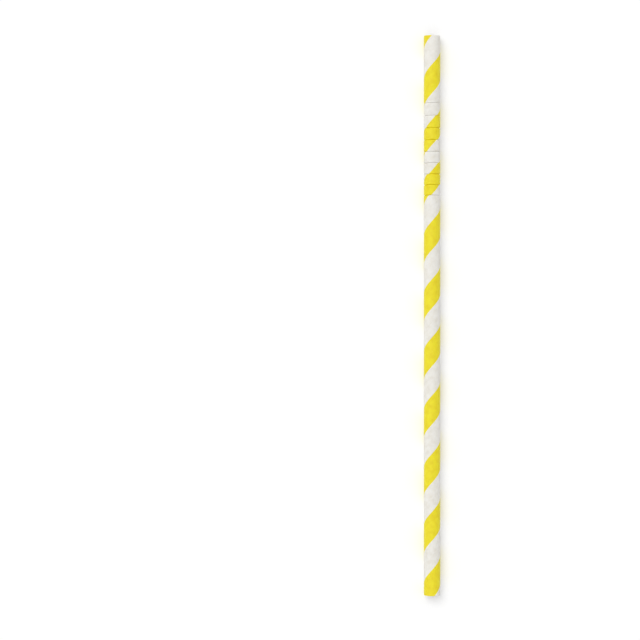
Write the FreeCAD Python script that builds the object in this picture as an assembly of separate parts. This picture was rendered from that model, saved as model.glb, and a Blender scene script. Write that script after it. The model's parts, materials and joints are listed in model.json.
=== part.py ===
import FreeCAD, Part
import math
import os

# A paper drinking straw with pressed folds near its drinking end, which let it bend.
# It lies along Y on the plane Z = 0, with the drinking end towards +Y and the middle of its length at Y = 0.
# Paper tape is wound and glued into one tube, so the straw is one solid: a turned outside less a turned bore.

# Driving dimensions, in millimetres
straw_length = 204.0            # from cut end to cut end
outer_diameter = 6.0
wall = 0.4                      # the plies of paper, glued into one wall
underside_flat = 0.07           # a light paper tube is pressed this far out of round, and doesn't roll

# The folds
crease_count = 9
mouth_to_first_crease = 24.6    # from the drinking end to the middle of the nearest fold
pitch_near_mouth = 4.6          # between the two folds nearest the drinking end
pitch_near_tail = 3.8           # between the two folds furthest from it
fold_gap = 0.05                 # slot left open between the two pressed walls of a fold
flat_near_mouth = 0.01          # straight part of the walls of the fold nearest the drinking end, the shallowest
flat_near_tail = 0.25           # the same in the fold furthest from it, the deepest
facets_per_quarter = 2          # facets in each quarter turn of a fold, which is too small to need more

half_length = straw_length / 2
outer_radius = outer_diameter / 2
axis_height = outer_radius - underside_flat
past_end = 1.0                  # how far the bore's cutting solid runs past each end

# A fold keeps the wall's thickness all the way round, so its shoulder outside has a radius of one wall,
# and its bead in the bore has that and half the slot.
half_gap = fold_gap / 2
half_fold = half_gap + wall     # from the middle of a fold to where its shoulder starts


def at(along, depth):
    """A point of the wall's outline, so far along the straw and so deep under its outer surface."""
    return FreeCAD.Vector(0, along, axis_height + outer_radius - depth)


def round_stretch(along, depth, radius, first, last):
    """Points round a centre. An angle of 0 degrees is straight out of the straw, and 90 is towards its mouth."""
    steps = facets_per_quarter * (last - first) // 90
    angles = [math.radians(first + (last - first) * step / steps) for step in range(steps + 1)]
    return [at(along + radius * math.sin(angle), depth - radius * math.cos(angle)) for angle in angles]


def folds():
    """The middle of each fold along Y, and the straight part of its walls, from the tail to the drinking end."""
    place = half_length - mouth_to_first_crease
    found = []
    for number in range(crease_count):
        depth_share = number / max(crease_count - 1, 1)
        pitch_share = number / max(crease_count - 2, 1)
        found.append((place, flat_near_mouth + (flat_near_tail - flat_near_mouth) * depth_share))
        place -= pitch_near_mouth + (pitch_near_tail - pitch_near_mouth) * pitch_share
    return sorted(found)


def outside_of_fold(middle, flat):
    """Round shoulder, narrow slot and round shoulder, from the tail side to the mouth side."""
    slot_depth = wall + flat + half_gap
    slot_bottom = [at(middle - half_gap, slot_depth), at(middle + half_gap, slot_depth)]
    tail_shoulder = round_stretch(middle - half_fold, wall, wall, 0, 90)
    mouth_shoulder = round_stretch(middle + half_fold, wall, wall, -90, 0)
    return tail_shoulder + slot_bottom + mouth_shoulder


def bead_of_fold(middle, flat):
    """The bead that the fold makes in the bore, from the mouth side to the tail side."""
    bead = round_stretch(middle, wall + flat, half_fold, 90, 270)
    return [at(middle + half_fold, wall)] + bead + [at(middle - half_fold, wall)]


def outside_outline():
    """The outside of the wall, from the tail to the drinking end."""
    points = [at(-half_length, 0)]
    for middle, flat in folds():
        points += outside_of_fold(middle, flat)
    return points + [at(half_length, 0)]


def bore_outline():
    """The inside of the wall, from past the drinking end to past the tail."""
    points = [at(half_length + past_end, wall)]
    for middle, flat in reversed(folds()):
        points += bead_of_fold(middle, flat)
    return points + [at(-half_length - past_end, wall)]


def turned(outline):
    """The solid inside an outline that is turned about the straw's axis."""
    on_axis = [at(outline[-1].y, outer_radius), at(outline[0].y, outer_radius)]
    face = Part.Face(Part.makePolygon(outline + on_axis + outline[:1]))
    return face.revolve(on_axis[0], FreeCAD.Vector(0, 1, 0), 360)


def above(height):
    """All the space round the straw that is higher than a level."""
    width = outer_diameter + 2 * past_end
    length = straw_length + 4 * past_end
    return Part.makeBox(width, length, width, FreeCAD.Vector(-width / 2, -length / 2, height))


def paper_straw():
    """The underside is pressed flat outside and inside alike, so the wall is as thick there as elsewhere."""
    outside = turned(outside_outline()).common(above(0))
    bore = turned(bore_outline()).common(above(wall))
    return outside.cut(bore)


straw = paper_straw()
os.makedirs("parts", exist_ok=True)
straw.exportStep("parts/paper_straw.step")

print("paper_straw valid:", straw.isValid(), "solids:", len(straw.Solids), "volume mm3:", round(straw.Volume, 2))
print("fold width mm:", round(2 * half_fold, 3))
for fold_middle, fold_flat in folds():
    print("fold at Y mm:", round(fold_middle, 2), "slot depth mm:", round(wall + fold_flat + half_gap, 3))
print("width of the flat underside mm:", round(2 * math.sqrt(outer_radius ** 2 - axis_height ** 2), 2))
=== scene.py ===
import json
import math

import bpy
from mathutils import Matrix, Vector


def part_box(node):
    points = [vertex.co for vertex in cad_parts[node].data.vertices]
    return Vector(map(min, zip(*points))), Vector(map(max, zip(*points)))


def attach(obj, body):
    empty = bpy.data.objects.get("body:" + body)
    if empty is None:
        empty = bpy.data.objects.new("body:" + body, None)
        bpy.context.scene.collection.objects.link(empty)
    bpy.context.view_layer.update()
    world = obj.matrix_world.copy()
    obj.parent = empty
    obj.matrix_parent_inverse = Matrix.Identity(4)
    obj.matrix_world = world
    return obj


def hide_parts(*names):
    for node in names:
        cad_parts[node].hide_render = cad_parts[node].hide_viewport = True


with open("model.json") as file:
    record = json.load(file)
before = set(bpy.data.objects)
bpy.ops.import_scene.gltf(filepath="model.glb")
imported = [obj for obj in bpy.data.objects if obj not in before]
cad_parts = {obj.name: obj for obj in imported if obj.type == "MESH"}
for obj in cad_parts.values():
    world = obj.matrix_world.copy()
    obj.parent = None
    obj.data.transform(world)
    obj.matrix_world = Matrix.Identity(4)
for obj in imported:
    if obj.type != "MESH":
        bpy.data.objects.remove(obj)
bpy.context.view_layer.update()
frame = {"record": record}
print("frame loaded")

scene = bpy.context.scene
mm = 0.001                       # lengths below are in millimetres, and those times mm are in metres, as the scene is
lowest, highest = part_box("paper_straw")
mounts = {mount["name"]: mount for mount in frame["record"]["mounts"]}

# The straw's outline: its wall, cut through along its length.
straw = {
    "tail": lowest.y / mm,
    "mouth": highest.y / mm,
    "radius": mounts["tail_outside"]["dims"]["r_mm"],
    "boreRadius": mounts["tail_bore"]["dims"]["r_mm"],
    "axisHeight": mounts["tail_outside"]["pos_m"][2] / mm,
    "cutRound": 0.03,            # the knife leaves the paper's edges this little round
    "plies": 3,
    "plyGroove": 0.02,           # the line between two plies on the cut ends
    "ringSpacing": 0.3,          # between the rings of the mesh, outside and in the bore
    "boreRingSpacing": 0.6,
    "samePlace": 0.00001,        # two points of the outline nearer than this are one
}
straw["wall"] = straw["radius"] - straw["boreRadius"]
straw["lastRing"] = 3 * straw["cutRound"]    # from a cut to a ring that keeps the tube's shading even there

folds = {
    "count": 9,
    "fromMouth": mounts["mouth_outside"]["dims"]["length_mm"],   # plain tube between the cut and the first fold
    "pitchNearMouth": 4.6,
    "pitchNearTail": 3.8,
    "gap": 0.02,                 # slot between the two walls of a fold, pressed nearly shut
    "straightNearMouth": 0.01,   # straight part of those walls, in the shallowest fold
    "straightNearTail": 0.25,    # and in the deepest
    "arcStep": 18,               # degrees between two rings round a shoulder or a bead
}
folds["half"] = folds["gap"] / 2 + straw["wall"]

sides = {"printed": 0, "cut": 1, "inside": 2}    # of the paper, as the attribute "side" numbers them


def arcPoints(along, radius, size, first, last):
    # 0 degrees is straight out of the straw, and 90 is towards its mouth
    steps = max(2, round(abs(last - first) / folds["arcStep"]))
    angles = [math.radians(first + (last - first) * step / steps) for step in range(steps + 1)]
    return [(along + size * math.sin(angle), radius + size * math.cos(angle)) for angle in angles]


def plainPoints(start, end, radius, spacing):
    steps = max(1, round((end - start) / spacing))
    return [(start + (end - start) * step / steps, radius) for step in range(steps + 1)]


def plainTube(start, end):
    # the outside and the inside of a stretch with no fold
    return (plainPoints(start, end, straw["radius"], straw["ringSpacing"]),
            plainPoints(start, end, straw["boreRadius"], straw["boreRingSpacing"]))


def fold(middle, straight):
    # outside a shoulder, the slot and a shoulder, and inside a bead
    start, end = middle - folds["half"], middle + folds["half"]
    corner = straw["boreRadius"]
    outside = (arcPoints(start, corner, straw["wall"], 0, 90)
               + arcPoints(middle, corner - straight, folds["gap"] / 2, 270, 90)
               + arcPoints(end, corner, straw["wall"], -90, 0))
    bead = arcPoints(middle, corner - straight, folds["half"], 270, 90)
    return outside, [(start, corner)] + bead + [(end, corner)]


def between(near, far, share):
    return near + (far - near) * share


def foldPlaces():
    # the middle of each fold and the straight part of its walls, from the tail to the mouth
    middle = straw["mouth"] - folds["fromMouth"] - folds["half"]
    places = []
    for number in range(folds["count"]):
        straight = between(folds["straightNearMouth"], folds["straightNearTail"], number / (folds["count"] - 1))
        places.append((middle, straight))
        middle -= between(folds["pitchNearMouth"], folds["pitchNearTail"], number / (folds["count"] - 2))
    return sorted(places)


def stretches():
    # plain tube and folds by turns, from the tail to the mouth
    found, edge = [], straw["tail"]
    for middle, straight in foldPlaces():
        found += [plainTube(edge, middle - folds["half"]), fold(middle, straight)]
        edge = middle + folds["half"]
    return found + [plainTube(edge, straw["mouth"])]


def withPaper(points, paper, used):
    # shares out the paper that a stretch uses along its points
    done = [0]
    for before, after in zip(points, points[1:]):
        done.append(done[-1] + math.dist(before, after))
    return [(*point, paper + used * way / done[-1]) for point, way in zip(points, done)]


def wallRuns():
    # the outside and the inside as (along, radius, paper used so far), and all the paper
    outside, inside, paper = [], [], 0
    for outerPoints, innerPoints in stretches():
        used = sum(math.dist(*pair) for pair in zip(outerPoints, outerPoints[1:]))
        outside += withPaper(outerPoints, paper, used)
        inside += withPaper(innerPoints, paper, used)
        paper += used
    return outside, inside, paper


def upToCuts(run, radius, paper):
    # a run with its rings nearest the cuts replaced by one at a set distance from each
    start, stop = straw["tail"] + straw["lastRing"], straw["mouth"] - straw["lastRing"]
    kept = [point for point in run if start < point[0] < stop]
    return [(start, radius, straw["lastRing"])] + kept + [(stop, radius, paper - straw["lastRing"])]


def cutEnd(end, towardsMouth, paper):
    # the round outer edge, the plies with a fine groove between each two, and the round inner edge
    sign = 1 if towardsMouth else -1
    small, groove = straw["cutRound"], straw["plyGroove"]
    centre = end - sign * small
    outerEdge = arcPoints(centre, straw["radius"] - small, small, 0, sign * 90)
    innerEdge = arcPoints(centre, straw["boreRadius"] + small, small, sign * 90, sign * 180)
    plies = outerEdge[-1:]
    for ply in range(1, straw["plies"]):
        line = straw["radius"] - straw["wall"] * ply / straw["plies"]
        plies += [(end, line + groove / 2), (end - sign * groove, line), (end, line - groove / 2)]
    plies += innerEdge[:1]
    return [([(*point, paper) for point in points], side)
            for points, side in ((outerEdge, "printed"), (plies, "cut"), (innerEdge, "inside"))]


def strawOutline():
    # a closed loop of (along, radius, paper, side), where a side is that of the faces up to the next point
    outside, inside, paper = wallRuns()
    tailCut = cutEnd(straw["tail"], False, 0)
    around = [(upToCuts(outside, straw["radius"], paper), "printed")]
    around += cutEnd(straw["mouth"], True, paper)
    around += [(upToCuts(inside, straw["boreRadius"], paper)[::-1], "inside")]
    around += [(points[::-1], side) for points, side in reversed(tailCut)]
    loop = [(*point, sides[side]) for points, side in around for point in points]
    return [point for point, after in zip(loop, loop[1:] + loop[:1])
            if math.dist(point[:2], after[:2]) > straw["samePlace"]]


outline = strawOutline()
mesh = bpy.data.meshes.new("wound_straw")
loopEdges = [(number, (number + 1) % len(outline)) for number in range(len(outline))]
mesh.from_pydata([(0, along * mm, radius * mm) for along, radius, *rest in outline], loopEdges, [])
for name, place in (("paperLength", 2), ("side", 3)):
    attribute = mesh.attributes.new(name, "FLOAT", "POINT")
    attribute.data.foreach_set("value", [point[place] for point in outline])
woundStraw = bpy.data.objects.new("wound_straw", mesh)
scene.collection.objects.link(woundStraw)
print("outline drawn, points:", len(outline))

# The winding: paper tape goes round the outline in a spiral. These are the inputs of its tree.
winding = {
    "Columns": 64,
    "Lead": 21.15,               # the tape climbs this far in one turn
    "Stripe Middle": 25.62,      # paper from the tail's cut to the middle of a stripe, on the upper side
    "Crowding": -0.6,            # brings columns together at the seams
    "Seam Depth": 0.025 * mm,
    "Seam Half Width": 0.0065,   # as a share of the tape's width
    "Axis Height": straw["axisHeight"] * mm,
    "Radius": straw["radius"] * mm,
    "Out Of Round": 0.02 * mm,
    "Dent Length": 5 * mm,       # along the straw, about from one dent to the next
    "Dents Across": 1.1,
    "Fold Wander": 0.16 * mm,
    "Straight Ends": 6 * mm,     # over this length next to each cut the wander dies out
    "End": straw["mouth"] * mm,
    "Merge Distance": 0.001 * mm,
    "Seed": 7,
}
oneTurn = 2 * math.pi


def addNode(tree, kind, settings=None, inputs=None):
    # an input is a value, a socket, or a node that gives its first output
    node = tree.nodes.new(kind)
    number = len(tree.nodes)
    node.location = (200 * (number % 10), -300 * (number // 10))
    for name, value in (settings or {}).items():
        setattr(node, name, value)
    for name, value in (inputs or {}).items():
        if isinstance(value, bpy.types.Node):
            value = value.outputs[0]
        if isinstance(value, bpy.types.NodeSocket):
            tree.links.new(value, node.inputs[name])
        else:
            node.inputs[name].default_value = value
    return node


def tapeGrid(tree, given):
    # a row for each point of the outline and one more that closes it, and a column for each place across the tape
    points = addNode(tree, "GeometryNodeAttributeDomainSize", {"component": "MESH"}, {"Geometry": given["Outline"]})
    rows = addNode(tree, "ShaderNodeMath", {"operation": "ADD"}, {0: points, 1: 1})
    lines = addNode(tree, "ShaderNodeMath", {"operation": "ADD"}, {0: given["Columns"], 1: 1})
    grid = addNode(tree, "GeometryNodeMeshGrid", None, {"Vertices X": lines, "Vertices Y": rows})
    index = addNode(tree, "GeometryNodeInputIndex")
    row = addNode(tree, "ShaderNodeMath", {"operation": "MODULO"}, {0: index, 1: rows})
    point = addNode(tree, "ShaderNodeMath", {"operation": "MODULO"}, {0: row, 1: points})
    wholeRows = addNode(tree, "ShaderNodeMath", {"operation": "DIVIDE"}, {0: index, 1: rows})
    column = addNode(tree, "ShaderNodeMath", {"operation": "FLOOR"}, {0: wholeRows})

    # place across the tape, from one edge at 0 to the other at 1, crowded at both and at 0.5
    even = addNode(tree, "ShaderNodeMath", {"operation": "DIVIDE"}, {0: column, 1: given["Columns"]})
    turned = addNode(tree, "ShaderNodeMath", {"operation": "MULTIPLY"}, {0: even, 1: 2 * oneTurn})
    wave = addNode(tree, "ShaderNodeMath", {"operation": "SINE"}, {0: turned})
    crowd = addNode(tree, "ShaderNodeMath", {"operation": "DIVIDE"}, {0: given["Crowding"], 1: 2 * oneTurn})
    tape = addNode(tree, "ShaderNodeMath", {"operation": "MULTIPLY_ADD"}, {0: wave, 1: crowd, 2: even})
    return grid, row, point, tape


def withSeams(tree, given, tape, side, radius):
    # the outer ply's edges meet in a fine groove at 0, and the inner ply's edges meet at 0.5
    fromMiddle = addNode(tree, "ShaderNodeMath", {"operation": "SUBTRACT"}, {0: tape, 1: 0.5})
    innerWay = addNode(tree, "ShaderNodeMath", {"operation": "ABSOLUTE"}, {0: fromMiddle})
    outerWay = addNode(tree, "ShaderNodeMath", {"operation": "SUBTRACT"}, {0: 0.5, 1: innerWay})
    outerSeam = (outerWay, "LESS_THAN", sides["printed"] + 0.5, -1)
    innerSeam = (innerWay, "GREATER_THAN", sides["inside"] - 0.5, 1)
    for way, comparison, limit, outwards in (outerSeam, innerSeam):
        depth = addNode(tree, "ShaderNodeMapRange", None,
                        {"Value": way, "From Min": 0, "From Max": given["Seam Half Width"],
                         "To Min": given["Seam Depth"], "To Max": 0})
        isHere = addNode(tree, "ShaderNodeMath", {"operation": comparison}, {0: side, 1: limit})
        signed = addNode(tree, "ShaderNodeMath", {"operation": "MULTIPLY"}, {0: isHere, 1: outwards})
        radius = addNode(tree, "ShaderNodeMath", {"operation": "MULTIPLY_ADD"}, {0: depth, 1: signed, 2: radius})
    return radius


def unevenness(tree, given, along, sine, cosine):
    # pressed paper is never quite true: the tube is a hair out of round, and the folds wander along it
    longWay = addNode(tree, "ShaderNodeMath", {"operation": "DIVIDE"}, {0: along, 1: given["Dent Length"]})
    around = addNode(tree, "ShaderNodeCombineXYZ", None, {"X": sine, "Y": longWay, "Z": cosine})
    noise = addNode(tree, "ShaderNodeTexNoise", {"noise_dimensions": "4D"},
                    {"Vector": around, "W": given["Seed"], "Scale": given["Dents Across"], "Detail": 1})
    dent = addNode(tree, "ShaderNodeMath", {"operation": "MULTIPLY"}, {0: noise, 1: given["Out Of Round"]})
    parts = addNode(tree, "ShaderNodeSeparateXYZ", None, {0: noise.outputs["Color"]}).outputs
    wander = addNode(tree, "ShaderNodeMath", {"operation": "SUBTRACT"}, {0: parts["Z"], 1: 0.5})
    fromMiddle = addNode(tree, "ShaderNodeMath", {"operation": "ABSOLUTE"}, {0: along})
    calmFrom = addNode(tree, "ShaderNodeMath", {"operation": "SUBTRACT"},
                       {0: given["End"], 1: given["Straight Ends"]})
    most = addNode(tree, "ShaderNodeMapRange", None,
                   {"Value": fromMiddle, "From Min": calmFrom, "From Max": given["End"],
                    "To Min": given["Fold Wander"], "To Max": 0})
    newAlong = addNode(tree, "ShaderNodeMath", {"operation": "MULTIPLY_ADD"}, {0: wander, 1: most, 2: along})
    return dent, newAlong


def onTube(tree, given, tape, paper, side, along, radius):
    # how far round the tube the tape has come here, with the stripe's middle, at 0.5, on the upper side
    fromStripe = addNode(tree, "ShaderNodeMath", {"operation": "SUBTRACT"}, {0: paper, 1: given["Stripe Middle"]})
    turns = addNode(tree, "ShaderNodeMath", {"operation": "DIVIDE"}, {0: fromStripe, 1: given["Lead"]})
    turns = addNode(tree, "ShaderNodeMath", {"operation": "ADD"}, {0: turns, 1: tape})
    turns = addNode(tree, "ShaderNodeMath", {"operation": "SUBTRACT"}, {0: turns, 1: 0.5})
    angle = addNode(tree, "ShaderNodeMath", {"operation": "MULTIPLY"}, {0: turns, 1: oneTurn})
    sine = addNode(tree, "ShaderNodeMath", {"operation": "SINE"}, {0: angle})
    cosine = addNode(tree, "ShaderNodeMath", {"operation": "COSINE"}, {0: angle})
    radius = withSeams(tree, given, tape, side, radius)
    dent, newAlong = unevenness(tree, given, along, sine, cosine)
    bent = addNode(tree, "ShaderNodeMath", {"operation": "SUBTRACT"}, {0: radius, 1: dent})

    # its own weight presses the underside flat, by the same amount right through the wall
    x = addNode(tree, "ShaderNodeMath", {"operation": "MULTIPLY"}, {0: bent, 1: sine})
    z = addNode(tree, "ShaderNodeMath", {"operation": "MULTIPLY_ADD"}, {0: bent, 1: cosine, 2: given["Axis Height"]})
    level = addNode(tree, "ShaderNodeMath", {"operation": "SUBTRACT"}, {0: given["Radius"], 1: radius})
    z = addNode(tree, "ShaderNodeMath", {"operation": "MAXIMUM"}, {0: z, 1: level})
    return addNode(tree, "ShaderNodeCombineXYZ", None, {"X": x, "Y": newAlong, "Z": z})


def windingTree():
    tree = bpy.data.node_groups.new("wound tube", "GeometryNodeTree")
    tree.interface.new_socket("Outline", in_out="INPUT", socket_type="NodeSocketGeometry")
    for name, value in winding.items():
        kind = "NodeSocketInt" if isinstance(value, int) else "NodeSocketFloat"
        tree.interface.new_socket(name, in_out="INPUT", socket_type=kind)
    tree.interface.new_socket("Material", in_out="INPUT", socket_type="NodeSocketMaterial")
    tree.interface.new_socket("Tube", in_out="OUTPUT", socket_type="NodeSocketGeometry")
    given = addNode(tree, "NodeGroupInput").outputs
    grid, row, point, tape = tapeGrid(tree, given)

    # what the outline says at this row
    fields = {name: addNode(tree, "GeometryNodeInputNamedAttribute", {"data_type": "FLOAT"}, {"Name": name})
              for name in ("paperLength", "side")}
    fields["place"] = addNode(tree, "GeometryNodeInputPosition")
    here = {}
    for name, field in fields.items():
        kind = "FLOAT_VECTOR" if name == "place" else "FLOAT"
        here[name] = addNode(tree, "GeometryNodeSampleIndex", {"data_type": kind},
                             {"Geometry": given["Outline"], "Value": field, "Index": point})
    place = addNode(tree, "ShaderNodeSeparateXYZ", None, {0: here["place"]}).outputs
    position = onTube(tree, given, tape, here["paperLength"], here["side"], place["Y"], place["Z"])

    # each corner keeps its place on the tape, so that the print stops cleanly at the tape's edge
    keep = addNode(tree, "GeometryNodeCaptureAttribute", {"domain": "POINT"}, {"Geometry": grid})
    for name, value in (("Tape", tape), ("Paper", here["paperLength"]), ("Row", row)):
        keep.capture_items.new("FLOAT", name)
        tree.links.new(value.outputs[0], keep.inputs[name])
    tube = addNode(tree, "GeometryNodeSetPosition", None, {"Geometry": keep, "Position": position})
    faceRow = addNode(tree, "ShaderNodeMath", {"operation": "FLOOR"}, {0: keep.outputs["Row"]})
    faceSide = addNode(tree, "GeometryNodeSampleIndex", {"data_type": "FLOAT"},
                       {"Geometry": given["Outline"], "Value": fields["side"], "Index": faceRow})
    for name, domain, value in (("tape", "CORNER", keep.outputs["Tape"]),
                                ("paperLength", "CORNER", keep.outputs["Paper"]),
                                ("side", "FACE", faceSide)):
        tube = addNode(tree, "GeometryNodeStoreNamedAttribute", {"data_type": "FLOAT", "domain": domain},
                       {"Geometry": tube, "Name": name, "Value": value})
    tube = addNode(tree, "GeometryNodeMergeByDistance", None, {"Geometry": tube, "Distance": given["Merge Distance"]})
    tube = addNode(tree, "GeometryNodeSetShadeSmooth", None, {"Geometry": tube})
    tube = addNode(tree, "GeometryNodeRealizeInstances", None, {"Geometry": tube})
    tube = addNode(tree, "GeometryNodeSetMaterial", None, {"Geometry": tube, "Material": given["Material"]})
    addNode(tree, "NodeGroupOutput", None, {"Tube": tube})
    return tree


def linear(hexColour):
    # an sRGB hex colour as linear red, green, blue and alpha
    parts = [int(hexColour[place:place + 2], 16) / 255 for place in (1, 3, 5)]
    return tuple(part / 12.92 if part <= 0.04045 else ((part + 0.055) / 1.055) ** 2.4 for part in parts) + (1,)


# Bleached kraft paper, printed in one colour, slit to a tape, wound and glued.
# Uncoated, so it is matte and slightly cloudy, and its fibres lie mostly along the tape.
# The ink sits on the fibres, so its edge is a little ragged and its cover a little uneven.
# Ink fills the paper's pores, so it is a little smoother than bare paper.
slope = math.atan(oneTurn * straw["radius"] / winding["Lead"])   # of the tape, away from the straw's length
printedPaper = {
    "white": "#F4F2EC",
    "whiteShade": "#E8E4DA",
    "ink": "#F4E71C",
    "inkShade": "#EBD710",
    "inside": "#F1EDE4",
    "cutEdge": "#EAE3D4",
    "bareShade": 0.6,            # how far the inside and the cuts take on the white's unevenness
    "tapeWidth": winding["Lead"] * math.sin(slope),
    "stripeShare": 0.498,        # of the tape's width
    "printRagged": 0.05,
    "printSoft": 0.04,
    "fibreWidth": 0.12,          # real fibres are 0.03 mm wide, drawn coarser so that they show
    "fibreLength": 0.9,
    "fibreCurl": 0.6,
    "cloud": 2.2,                # from one thicker place in the paper to the next
    "grain": 0.2,                # from one small gap in the ink's cover to the next
    "sideShift": 50,             # takes the pattern of each side of the paper away from the others
    # noise at which a shade or a gap begins, and at which it is full
    "streaks": (0.45, 0.8),
    "clouds": (0.35, 0.7),
    "gaps": (0.68, 0.8),
    "streakMost": 0.9,           # shade of a full streak, against 1 for a full cloud
    "gapCover": 0.8,             # what ink there is in a full gap
    "relief": 0.035 * mm,        # of the fibres
    "cloudRelief": 1.2,          # times that
    "paperRough": 0.72,
    "inkRough": 0.55,
    "fibreRough": 0.12,          # more on a fibre
    "ior": 1.5,
    "lightThrough": 0.4,         # share of the light that goes into the fibres, so a little comes through the wall
    "lightDepth": 0.4 * mm,
    "lightColours": (1, 0.97, 0.92),
}


def printedPaperMaterial():
    material = bpy.data.materials.new("bleachedPrintedPaper")
    material.use_nodes = True
    tree = material.node_tree
    tree.nodes.clear()
    paper = printedPaper
    tape, length, side = [addNode(tree, "ShaderNodeAttribute", {"attribute_name": name}).outputs["Fac"]
                          for name in ("tape", "paperLength", "side")]

    # millimetres across the tape and along it
    across = addNode(tree, "ShaderNodeMath", {"operation": "MULTIPLY"}, {0: tape, 1: paper["tapeWidth"]})
    climbed = addNode(tree, "ShaderNodeMath", {"operation": "MULTIPLY"}, {0: length, 1: 1 / math.cos(slope)})
    around = oneTurn * straw["radius"] * math.sin(slope)
    along = addNode(tree, "ShaderNodeMath", {"operation": "MULTIPLY_ADD"}, {0: tape, 1: around, 2: climbed})
    apart = addNode(tree, "ShaderNodeMath", {"operation": "MULTIPLY"}, {0: side, 1: paper["sideShift"]})
    onTape = addNode(tree, "ShaderNodeCombineXYZ", None, {"X": across, "Y": along, "Z": apart})
    fibreScale = (1 / paper["fibreWidth"], 1 / paper["fibreLength"], 1)
    fibrePlace = addNode(tree, "ShaderNodeVectorMath", {"operation": "MULTIPLY"}, {0: onTape, 1: fibreScale})
    fibre = addNode(tree, "ShaderNodeTexNoise", None,
                    {"Vector": fibrePlace, "Scale": 1, "Detail": 3, "Distortion": paper["fibreCurl"]})
    cloud = addNode(tree, "ShaderNodeTexNoise", None, {"Vector": onTape, "Scale": 1 / paper["cloud"], "Detail": 4})
    grain = addNode(tree, "ShaderNodeTexNoise", None, {"Vector": onTape, "Scale": 1 / paper["grain"], "Detail": 2})

    # the stripe, with its ragged edge and the small gaps in its cover
    fromMiddle = addNode(tree, "ShaderNodeMath", {"operation": "SUBTRACT"}, {0: tape, 1: 0.5})
    share = addNode(tree, "ShaderNodeMath", {"operation": "ABSOLUTE"}, {0: fromMiddle})
    way = addNode(tree, "ShaderNodeMath", {"operation": "MULTIPLY"}, {0: share, 1: paper["tapeWidth"]})
    ragged = addNode(tree, "ShaderNodeMath", {"operation": "MULTIPLY_ADD"},
                     {0: fibre, 1: paper["printRagged"], 2: way})
    edge = paper["stripeShare"] / 2 * paper["tapeWidth"] + paper["printRagged"] / 2
    stripe = addNode(tree, "ShaderNodeMapRange", {"interpolation_type": "SMOOTHSTEP"},
                     {"Value": ragged, "From Min": edge - paper["printSoft"], "From Max": edge + paper["printSoft"],
                      "To Min": 1, "To Max": 0})
    outside = addNode(tree, "ShaderNodeMath", {"operation": "LESS_THAN"}, {0: side, 1: sides["printed"] + 0.5})
    inside = addNode(tree, "ShaderNodeMath", {"operation": "GREATER_THAN"}, {0: side, 1: sides["inside"] - 0.5})
    printed = addNode(tree, "ShaderNodeMath", {"operation": "MULTIPLY"}, {0: stripe, 1: outside})
    cover = addNode(tree, "ShaderNodeMapRange", None,
                    {"Value": grain, "From Min": paper["gaps"][0], "From Max": paper["gaps"][1],
                     "To Min": 1, "To Max": paper["gapCover"]})
    covered = addNode(tree, "ShaderNodeMath", {"operation": "MULTIPLY"}, {0: printed, 1: cover})

    # colours, each a little uneven
    clouds = addNode(tree, "ShaderNodeMapRange", None,
                     {"Value": cloud, "From Min": paper["clouds"][0], "From Max": paper["clouds"][1]})
    streaks = addNode(tree, "ShaderNodeMapRange", None,
                      {"Value": fibre, "From Min": paper["streaks"][0], "From Max": paper["streaks"][1],
                       "To Min": 0, "To Max": paper["streakMost"]})
    uneven = addNode(tree, "ShaderNodeMath", {"operation": "MAXIMUM"}, {0: clouds, 1: streaks})
    white = addNode(tree, "ShaderNodeMix", {"data_type": "RGBA"},
                    {"Factor": uneven, 6: linear(paper["white"]), 7: linear(paper["whiteShade"])}).outputs[2]
    ink = addNode(tree, "ShaderNodeMix", {"data_type": "RGBA"},
                  {"Factor": uneven, 6: linear(paper["ink"]), 7: linear(paper["inkShade"])}).outputs[2]
    bare = addNode(tree, "ShaderNodeMix", {"data_type": "RGBA"},
                   {"Factor": inside, 6: linear(paper["cutEdge"]), 7: linear(paper["inside"])}).outputs[2]
    bare = addNode(tree, "ShaderNodeMix", {"data_type": "RGBA", "blend_type": "MULTIPLY"},
                   {"Factor": paper["bareShade"], 6: bare, 7: white}).outputs[2]
    plain = addNode(tree, "ShaderNodeMix", {"data_type": "RGBA"}, {"Factor": outside, 6: bare, 7: white}).outputs[2]
    colour = addNode(tree, "ShaderNodeMix", {"data_type": "RGBA"}, {"Factor": covered, 6: plain, 7: ink}).outputs[2]

    rough = addNode(tree, "ShaderNodeMapRange", None,
                    {"Value": printed, "To Min": paper["paperRough"], "To Max": paper["inkRough"]})
    rough = addNode(tree, "ShaderNodeMath", {"operation": "MULTIPLY_ADD"},
                    {0: fibre, 1: paper["fibreRough"], 2: rough})
    height = addNode(tree, "ShaderNodeMath", {"operation": "MULTIPLY_ADD"},
                     {0: cloud, 1: paper["cloudRelief"], 2: fibre})
    bump = addNode(tree, "ShaderNodeBump", None, {"Height": height, "Distance": paper["relief"], "Strength": 1})
    surface = addNode(tree, "ShaderNodeBsdfPrincipled", None,
                      {"Base Color": colour, "Roughness": rough, "Normal": bump, "IOR": paper["ior"],
                       "Subsurface Weight": paper["lightThrough"], "Subsurface Radius": paper["lightColours"],
                       "Subsurface Scale": paper["lightDepth"]})
    addNode(tree, "ShaderNodeOutputMaterial", None, {"Surface": surface})
    return material


tree = windingTree()
paperMaterial = printedPaperMaterial()
modifier = woundStraw.modifiers.new("winding", "NODES")
modifier.node_group = tree
for socket in tree.interface.items_tree:
    if socket.in_out == "INPUT" and socket.name in winding:
        modifier[socket.identifier] = winding[socket.name]
    elif socket.name == "Material":
        modifier[socket.identifier] = paperMaterial
evaluated = woundStraw.evaluated_get(bpy.context.evaluated_depsgraph_get())
woundMesh = bpy.data.meshes.new_from_object(evaluated)
woundStraw.modifiers.remove(modifier)
woundStraw.data = woundMesh
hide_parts("paper_straw")
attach(woundStraw, "root")
print("straw wound, faces:", len(woundMesh.polygons))

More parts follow.
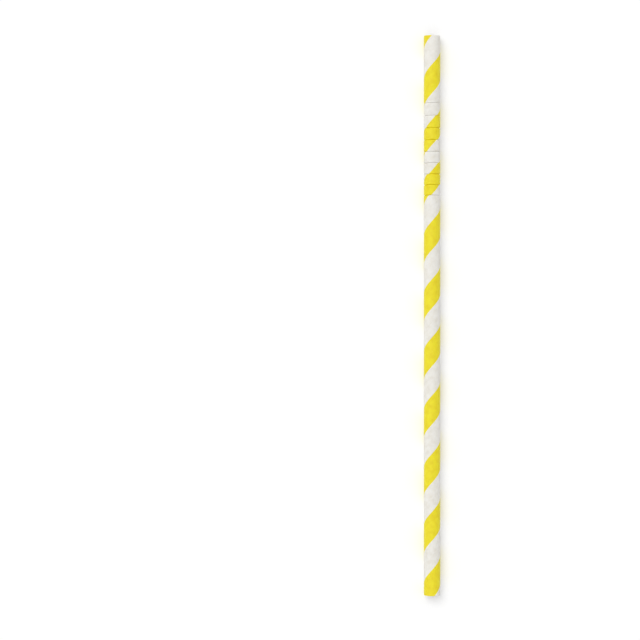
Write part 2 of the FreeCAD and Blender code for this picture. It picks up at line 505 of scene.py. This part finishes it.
# The floor and the light.
studio = {
    "floorSize": 4.0,            # in metres
    "floor": "#F2F2F2",
    "floorLift": 0.18,           # seen by the camera only, so that the floor is white and keeps its shadow
    "sky": "#FFFFFF",
    "ambient": 0.66,             # what the sky gives to the straw; the camera sees it at full strength
    "lampFrom": (-0.42, 0.45, 1.0),
    "lampSpread": 42,            # degrees from side to side, as of a large softbox
    "lampStrength": 1.08,
}


def pureSeen(tree):
    # 1 where the camera, a reflection or a view through glass looks, and 0 for plain light
    path = addNode(tree, "ShaderNodeLightPath").outputs
    seen = addNode(tree, "ShaderNodeMath", {"operation": "MAXIMUM"},
                   {0: path["Is Camera Ray"], 1: path["Is Glossy Ray"]})
    return addNode(tree, "ShaderNodeMath", {"operation": "MAXIMUM"}, {0: seen, 1: path["Is Transmission Ray"]})


def layFloor():
    half = studio["floorSize"] / 2
    mesh = bpy.data.meshes.new("floor")
    mesh.from_pydata([(-half, -half, 0), (half, -half, 0), (half, half, 0), (-half, half, 0)], [], [(0, 1, 2, 3)])
    floor = bpy.data.objects.new("floor", mesh)
    scene.collection.objects.link(floor)
    material = bpy.data.materials.new("paintedFloor")   # matte white paint
    material.use_nodes = True
    tree = material.node_tree
    tree.nodes.clear()
    paint = addNode(tree, "ShaderNodeBsdfDiffuse", None, {"Color": linear(studio["floor"])})
    lift = addNode(tree, "ShaderNodeMath", {"operation": "MULTIPLY"}, {0: pureSeen(tree), 1: studio["floorLift"]})
    glow = addNode(tree, "ShaderNodeEmission", None, {"Strength": lift})
    both = addNode(tree, "ShaderNodeAddShader", None, {0: paint, 1: glow})
    addNode(tree, "ShaderNodeOutputMaterial", None, {"Surface": both})
    mesh.materials.append(material)


def lightStudio():
    world = bpy.data.worlds.new("studio")
    scene.world = world
    world.use_nodes = True
    tree = world.node_tree
    tree.nodes.clear()
    strength = addNode(tree, "ShaderNodeMapRange", None,
                       {"Value": pureSeen(tree), "To Min": studio["ambient"], "To Max": 1})
    sky = addNode(tree, "ShaderNodeBackground", None, {"Color": linear(studio["sky"]), "Strength": strength})
    addNode(tree, "ShaderNodeOutputWorld", None, {"Surface": sky})
    lamp = bpy.data.lights.new("softbox", "SUN")     # even over the whole floor
    lamp.angle = math.radians(studio["lampSpread"])
    lamp.energy = studio["lampStrength"]
    softbox = bpy.data.objects.new("softbox", lamp)
    softbox.location = studio["lampFrom"]
    softbox.rotation_euler = softbox.location.to_track_quat("Z", "Y").to_euler()
    scene.collection.objects.link(softbox)


# The camera looks straight down, with the straw's mouth at the top of the image.
view = {
    "distance": 700,             # above the straw's axis
    "width": 233.6,              # of what the image shows at that height
    "sensor": 36,
    "centre": (-40.9, -1.61),    # of the image, from the middle of the straw
}


def placeCamera():
    data = bpy.data.cameras.new("camera")
    data.sensor_width = view["sensor"]
    data.lens = view["sensor"] * view["distance"] / view["width"]
    camera = bpy.data.objects.new("camera", data)
    middle = (straw["tail"] + straw["mouth"]) / 2
    camera.location = (view["centre"][0] * mm, (middle + view["centre"][1]) * mm,
                       (straw["axisHeight"] + view["distance"]) * mm)
    scene.collection.objects.link(camera)
    scene.camera = camera


layFloor()
lightStudio()
placeCamera()
scene.view_settings.view_transform = "Standard"
print("floor, light and camera set")
